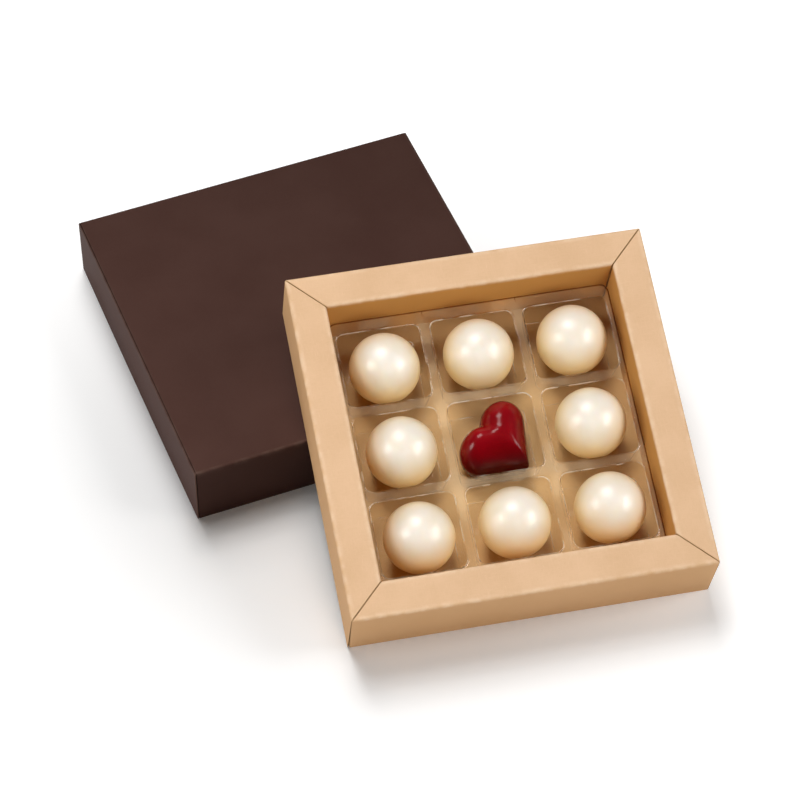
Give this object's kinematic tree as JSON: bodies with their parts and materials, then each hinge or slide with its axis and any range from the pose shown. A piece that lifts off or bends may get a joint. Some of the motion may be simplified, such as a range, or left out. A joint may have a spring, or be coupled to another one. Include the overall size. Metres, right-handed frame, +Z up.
{
  "type": "chocolate box",
  "caption": "Open gift box for chocolates: a hollow-walled kraft base with a clear celled tray of bonbons leans on its dark lift-off lid.",
  "frame": {"origin": "middle of the footprint, on the table that the lid lies on", "axes": "+Z up from the table, +X along the base's front edge to its right, +Y from the base's front edge towards the lid"},
  "size_m": [0.1954, 0.231, 0.0677],
  "materials": {
    "lid_card": "dark brown uncoated card, matte",
    "kraft_card": "natural kraft card, matte",
    "clear_tray": "clear gloss sheet",
    "pearl_shell": "cream pearl lustre",
    "heart_shell": "deep red gloss"
  },
  "bodies": {
    "lid": {"lid_top_panel": "lid_card", "lid_front_wall": "lid_card", "lid_right_wall": "lid_card", "lid_back_wall": "lid_card", "lid_left_wall": "lid_card", "lid_tab_front_left": "lid_card", "lid_tab_front_right": "lid_card", "lid_tab_back_left": "lid_card", "lid_tab_back_right": "lid_card"},
    "base": {"base_floor_panel": "kraft_card", "front_frame_wall": "kraft_card", "right_frame_wall": "kraft_card", "back_frame_wall": "kraft_card", "left_frame_wall": "kraft_card", "base_tab_front_left": "kraft_card", "base_tab_front_right": "kraft_card", "base_tab_back_left": "kraft_card", "base_tab_back_right": "kraft_card"},
    "tray": {"tray_lip": "clear_tray", "tray_cell_front_left": "clear_tray", "tray_cell_front_middle": "clear_tray", "tray_cell_front_right": "clear_tray", "tray_cell_middle_left": "clear_tray", "tray_cell_middle_middle": "clear_tray", "tray_cell_middle_right": "clear_tray", "tray_cell_back_left": "clear_tray", "tray_cell_back_middle": "clear_tray", "tray_cell_back_right": "clear_tray"},
    "pearl_front_left": {"pearl_bonbon_front_left": "pearl_shell"},
    "pearl_front_middle": {"pearl_bonbon_front_middle": "pearl_shell"},
    "pearl_front_right": {"pearl_bonbon_front_right": "pearl_shell"},
    "pearl_middle_left": {"pearl_bonbon_middle_left": "pearl_shell"},
    "pearl_middle_right": {"pearl_bonbon_middle_right": "pearl_shell"},
    "pearl_back_left": {"pearl_bonbon_back_left": "pearl_shell"},
    "pearl_back_middle": {"pearl_bonbon_back_middle": "pearl_shell"},
    "pearl_back_right": {"pearl_bonbon_back_right": "pearl_shell"},
    "heart": {"heart_bonbon": "heart_shell"}
  },
  "joints": [
    {"name": "base_lift", "type": "slide", "parent": "lid", "child": "base", "axis": [0, 0, 1], "range_m": [0, 0.06]},
    {"name": "tray_lift", "type": "slide", "parent": "base", "child": "tray", "axis": [0, -0.3176, 0.9482], "range_m": [0, 0.04]},
    {"name": "pearl_front_left_lift", "type": "slide", "parent": "tray", "child": "pearl_front_left", "axis": [0, -0.3176, 0.9482], "range_m": [0, 0.04]},
    {"name": "pearl_front_middle_lift", "type": "slide", "parent": "tray", "child": "pearl_front_middle", "axis": [0, -0.3176, 0.9482], "range_m": [0, 0.04]},
    {"name": "pearl_front_right_lift", "type": "slide", "parent": "tray", "child": "pearl_front_right", "axis": [0, -0.3176, 0.9482], "range_m": [0, 0.04]},
    {"name": "pearl_middle_left_lift", "type": "slide", "parent": "tray", "child": "pearl_middle_left", "axis": [0, -0.3176, 0.9482], "range_m": [0, 0.04]},
    {"name": "pearl_middle_right_lift", "type": "slide", "parent": "tray", "child": "pearl_middle_right", "axis": [0, -0.3176, 0.9482], "range_m": [0, 0.04]},
    {"name": "pearl_back_left_lift", "type": "slide", "parent": "tray", "child": "pearl_back_left", "axis": [0, -0.3176, 0.9482], "range_m": [0, 0.04]},
    {"name": "pearl_back_middle_lift", "type": "slide", "parent": "tray", "child": "pearl_back_middle", "axis": [0, -0.3176, 0.9482], "range_m": [0, 0.04]},
    {"name": "pearl_back_right_lift", "type": "slide", "parent": "tray", "child": "pearl_back_right", "axis": [0, -0.3176, 0.9482], "range_m": [0, 0.04]},
    {"name": "heart_lift", "type": "slide", "parent": "tray", "child": "heart", "axis": [0, -0.3176, 0.9482], "range_m": [0, 0.04]}
  ]
}
